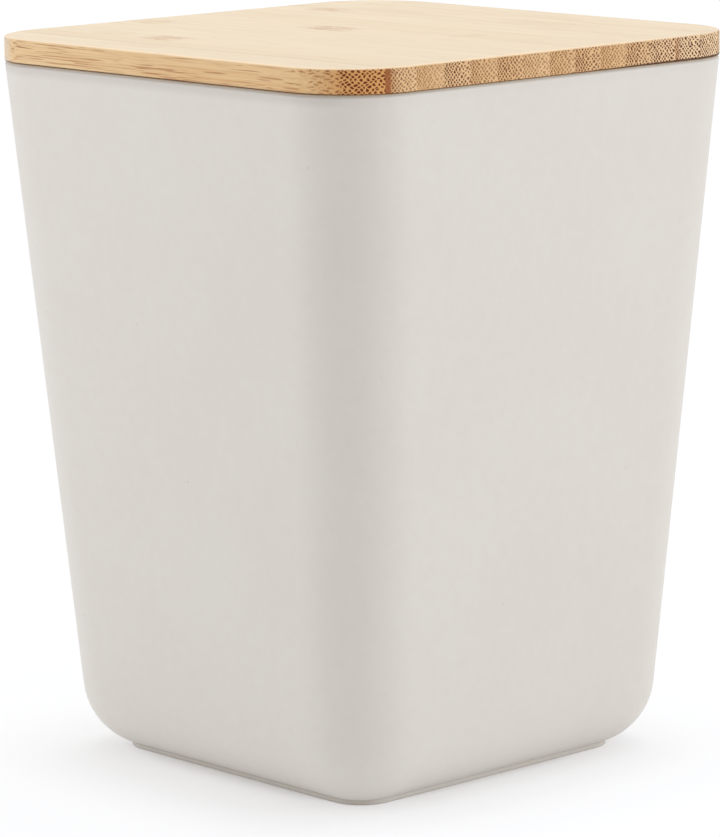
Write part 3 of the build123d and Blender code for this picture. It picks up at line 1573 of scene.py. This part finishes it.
@dataclass(frozen=True)
class Table:
    """A white table that fades into the white background away from the object.

    A place on it is measured by how far out it is on a square with soft corners, in
    metres. Glow is the share of plain white light in place of the table's own shade.
    """

    half: float = 4.0
    colour: Colour = paint(249, 249, 249)
    white: Colour = (0.995, 1.0, 1.015)
    white_strength: float = 1.01
    squareness: float = 4.0
    left_side: Fade = Fade(0.01, -0.03)
    front_side: Fade = Fade(0.055, 0.085, 0.16)
    lit_glow_near: float = 0.15
    lit_glow_more: float = 0.36
    lit_glow_out: Fade = Fade(0.032, 0.056)
    seen_glow_near: float = 0.2
    seen_glow: tuple[Glow, ...] = (
        Glow(0.27, 0.0325, 0.036, 0.003),
        Glow(0.2, 0.035, 0.045, 0.021),
        Glow(0.18, 0.043, 0.056, 0.012),
        Glow(0.15, 0.05, 0.08, 0.1),
    )

    def glow(self, graph: Graph) -> Signal:
        """Set how white each place is, for the camera and for the light that falls back on the object.

        Args:
            graph: The table's material.

        Returns:
            The share of plain white, 0 to 1.
        """
        x, y, _ = graph.split(graph.node("ShaderNodeTexCoord").outputs["Object"])
        seen = graph.out(graph.node("ShaderNodeLightPath"), "Is Camera Ray")
        out = (abs(x) ** self.squareness + abs(y) ** self.squareness) ** (1 / self.squareness)
        left = graph.fade(x + y, self.left_side)
        more = self.lit_glow_more + graph.fade(x - y, self.front_side)
        lit_glow = self.lit_glow_near + more * graph.fade(out, self.lit_glow_out)
        seen_glow: Value = self.seen_glow_near
        for step in self.seen_glow:
            white_from = step.end + step.later_on_left * left
            seen_glow = graph.rise(out, step.start, white_from, step.share) + seen_glow
        return lit_glow + seen * (seen_glow - lit_glow)

    def build(self) -> None:
        """Make the table."""
        mesh = bpy.data.meshes.new("floor")
        half = self.half
        corners = [(-half, -half, 0), (half, -half, 0), (half, half, 0), (-half, half, 0)]
        mesh.from_pydata(corners, [], [(0, 1, 2, 3)])
        floor = bpy.data.objects.new("floor", mesh)
        bpy.context.scene.collection.objects.link(floor)
        material = bpy.data.materials.new("white table")
        material.use_nodes = True
        graph = Graph(material.node_tree)
        graph.tree.nodes.clear()
        matt = graph.node("ShaderNodeBsdfDiffuse", inputs={"Color": self.colour})
        inputs = {"Color": self.white, "Strength": self.white_strength}
        white = graph.node("ShaderNodeEmission", inputs=inputs)
        inputs = {0: self.glow(graph), 1: matt.outputs[0], 2: white.outputs[0]}
        surface = graph.node("ShaderNodeMixShader", inputs=inputs)
        graph.node("ShaderNodeOutputMaterial", inputs={"Surface": surface.outputs[0]})
        mesh.materials.append(material)


@dataclass(frozen=True)
class Studio:
    """A white table and soft light from both sides, with the photograph's camera."""

    camera: Camera = Camera()
    table: Table = Table()
    lamps: tuple[Lamp, ...] = (
        Lamp("left box", -92, 8, 0.5, (0.35, 0.6), 0.83),
        Lamp("right box", 80, 8, 0.9, (0.5, 0.8), 3.0),
        Lamp("top box", 180, 75, 1.0, (0.7, 0.7), 3.2),
    )
    sky_level: float = 0.64
    sky_front: Fade = Fade(0.2, 1.0)
    sky_front_dimmer: float = 0.1
    sky_front_tint: Colour = (1.0, 0.93, 0.84)

    def sky(self) -> None:
        """Even pale light all round, dimmer and warmer from the front; the camera sees plain white."""
        world = bpy.data.worlds.new("studio")
        world.use_nodes = True
        graph = Graph(world.node_tree)
        graph.tree.nodes.clear()
        path = graph.node("ShaderNodeLightPath")
        camera_ray, glossy_ray = graph.out(path, "Is Camera Ray"), graph.out(path, "Is Glossy Ray")
        place = graph.node("ShaderNodeTexCoord").outputs["Generated"]
        inputs = {0: place, 1: tuple(self.camera.back())}
        facing = graph.node("ShaderNodeVectorMath", {"operation": "DOT_PRODUCT"}, inputs)
        toward = graph.fade(graph.out(facing, "Value"), self.sky_front)
        plain: Colour = (1.0, 1.0, 1.0)
        tint = graph.blend(toward * (1 - camera_ray), plain, self.sky_front_tint)
        level = self.sky_level - self.sky_front_dimmer * toward
        strength = graph.high(level, graph.high(camera_ray, glossy_ray))
        shine = graph.node("ShaderNodeBackground", inputs={"Color": tint, "Strength": strength})
        graph.node("ShaderNodeOutputWorld", inputs={"Surface": shine.outputs[0]})
        bpy.context.scene.world = world

    def build(self) -> None:
        """Set up everything round the object."""
        bpy.context.scene.view_settings.view_transform = "Standard"
        self.camera.build()
        self.sky()
        for lamp in self.lamps:
            lamp.build(self.camera.azimuth)
        self.table.build()


def log_pieces(pieces: Sequence[bpy.types.Object]) -> None:
    """Log each finished piece."""
    for piece in pieces:
        log.info("%s: %d faces", piece.name, len(piece.data.polygons))


def main() -> None:
    """Build the canister, piece by piece, and its studio."""
    logging.basicConfig(level=logging.INFO, format="%(name)s: %(message)s")
    Studio().build()
    loft = square_loft_tree()
    strip_shape = board_strip_tree()

    tub = Tub()
    log_pieces([tub.build(loft)])
    log_pieces(LidBoard(tub).build(strip_shape))
    plug = PlugBoard(tub)
    log_pieces(plug.build(strip_shape))
    log_pieces([SealRing(plug).build(loft)])


if __name__ == "__main__":
    main()
